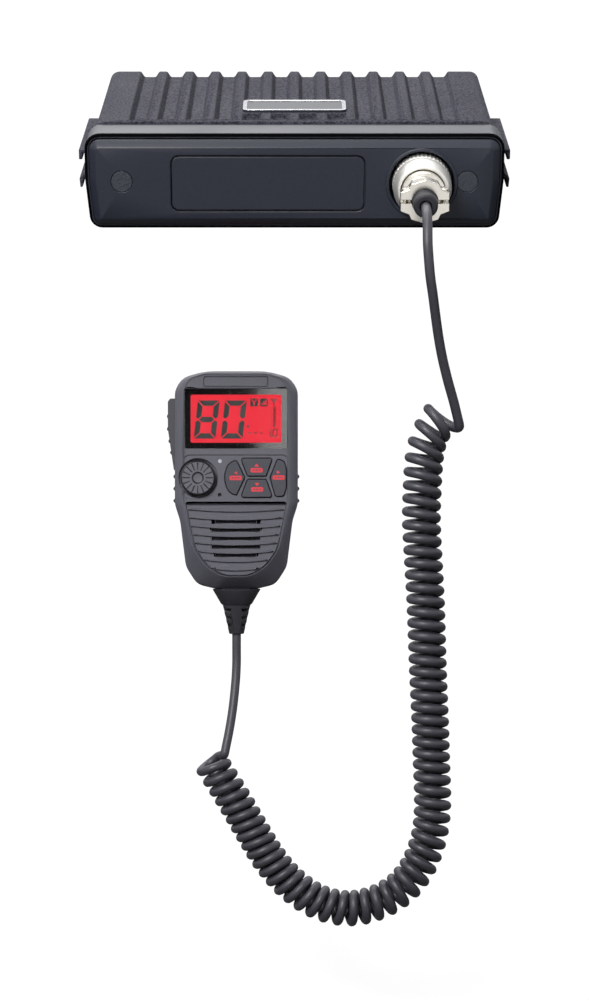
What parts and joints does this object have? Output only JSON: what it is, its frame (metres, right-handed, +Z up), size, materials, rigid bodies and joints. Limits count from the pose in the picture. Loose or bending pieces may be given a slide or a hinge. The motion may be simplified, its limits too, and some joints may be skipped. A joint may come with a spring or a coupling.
{
  "type": "uhf cb radio",
  "caption": "Two-way vehicle radio: a ribbed metal box with side rails and a plain front panel, joined by a curly cord to a hanging handset with display, knob, keys and louvred speaker.",
  "frame": {"origin": "midpoint between the two hooked side rails, halfway along them and at half the height of the front panel", "axes": "+Z up, -Y out of the front panel towards the user, +X to the right as seen from the front"},
  "size_m": [0.1588, 0.1822, 0.3107],
  "materials": {
    "cast_alloy": "powder-coated casting, matt",
    "panel_plastic": "fine matt moulding",
    "cap_plastic": "coarse texture",
    "screw_steel": "zinc-plated",
    "badge_metal": "bright plate",
    "board": "solder mask",
    "tin": "tinned sheet",
    "module_case": "moulded",
    "can_sleeve": "printed sleeve",
    "nickel": "nickel plate",
    "gold_contact": "plated contact",
    "insulator": "cream insulator",
    "phenolic": "dark insulator",
    "black_plastic": "moulded",
    "boot_rubber": "matt rubber",
    "cord_jacket": "satin polyurethane",
    "shell_plastic": "fine matt moulding",
    "rear_plastic": "fine matt moulding",
    "display_lens": "smoked window",
    "display_glass": "lit red",
    "white_plastic": "diffuser",
    "key_rubber": "coated silicone",
    "mat_silicone": "silicone",
    "knob_plastic": "fine matt moulding",
    "cone_paper": "pressed paper",
    "magnet": "plated",
    "mesh": "woven mesh"
  },
  "bodies": {
    "radio_and_handset": {"chassis": "cast_alloy", "heatsink_lid": "cast_alloy", "lid_screws": "screw_steel", "fascia": "panel_plastic", "fascia_screws": "screw_steel", "screw_caps": "cap_plastic", "badge": "badge_metal", "main_board": "board", "board_screws": "screw_steel", "rf_module": "module_case", "shield_can": "tin", "capacitors": "can_sleeve", "antenna_socket": "nickel", "antenna_insert": "insulator", "antenna_screws": "screw_steel", "power_inlet": "black_plastic", "power_contacts": "gold_contact", "speaker_jack": "black_plastic", "mic_socket": "nickel", "socket_nut": "nickel", "socket_insert": "phenolic", "socket_pins": "gold_contact", "plug_shell": "nickel", "plug_insert": "phenolic", "cable_clamp": "nickel", "clamp_screws": "screw_steel", "plug_grommet": "boot_rubber", "cord_radio_lead": "cord_jacket", "cord_curl": "cord_jacket", "cord_mic_lead": "cord_jacket", "front_cover": "shell_plastic", "rear_cover": "rear_plastic", "cover_seal": "boot_rubber", "cover_screws": "screw_steel", "display_window": "display_lens", "display_panel": "display_glass", "backlight": "white_plastic", "handset_board": "board", "key_mat": "mat_silicone", "encoder_body": "tin", "ptt_pin": "screw_steel", "ptt_bracket": "tin", "ptt_switch": "black_plastic", "speaker_frame": "magnet", "speaker_cone": "cone_paper", "speaker_magnet": "magnet", "grille_mesh": "mesh", "mic_capsule": "tin", "light_pipe": "white_plastic", "hang_button": "black_plastic", "cord_boot": "boot_rubber"},
    "talk_button": {"ptt_button": "rear_plastic"},
    "encoder_sleeve": {"encoder_rotor": "white_plastic"},
    "knob": {"volume_knob": "knob_plastic", "encoder_shaft": "screw_steel"},
    "left_key": {"key_left": "key_rubber"},
    "top_key": {"key_top": "key_rubber"},
    "bottom_key": {"key_bottom": "key_rubber"},
    "right_key": {"key_right": "key_rubber"},
    "plug_ring": {"coupling_ring": "nickel"}
  },
  "joints": [
    {"name": "talk_press", "type": "hinge", "parent": "radio_and_handset", "child": "talk_button", "pos_m": [-0.0436, 0.01052, -0.13105], "axis": [0, 0.9397, -0.342], "range_deg": [0, 3], "stiffness_Nm_per_rad": 1.5},
    {"name": "knob_turn", "type": "hinge", "parent": "radio_and_handset", "child": "encoder_sleeve", "pos_m": [-0.0379, 0.00197, -0.13086], "axis": [0, 0.9397, -0.342], "continuous": true},
    {"name": "knob_push", "type": "slide", "parent": "encoder_sleeve", "child": "knob", "axis": [0, 0.9397, -0.342], "range_m": [0, 0.0005], "stiffness_N_per_m": 6000},
    {"name": "left_key_press", "type": "slide", "parent": "radio_and_handset", "child": "left_key", "axis": [0, 0.9397, -0.342], "range_m": [0, 0.0006], "stiffness_N_per_m": 1600},
    {"name": "top_key_press", "type": "slide", "parent": "radio_and_handset", "child": "top_key", "axis": [0, 0.9397, -0.342], "range_m": [0, 0.0006], "stiffness_N_per_m": 1600},
    {"name": "bottom_key_press", "type": "slide", "parent": "radio_and_handset", "child": "bottom_key", "axis": [0, 0.9397, -0.342], "range_m": [0, 0.0006], "stiffness_N_per_m": 1600},
    {"name": "right_key_press", "type": "slide", "parent": "radio_and_handset", "child": "right_key", "axis": [0, 0.9397, -0.342], "range_m": [0, 0.0006], "stiffness_N_per_m": 1600},
    {"name": "ring_turn", "type": "hinge", "parent": "radio_and_handset", "child": "plug_ring", "pos_m": [0.046, -0.052, 0], "axis": [0, -1, 0], "continuous": true}
  ]
}
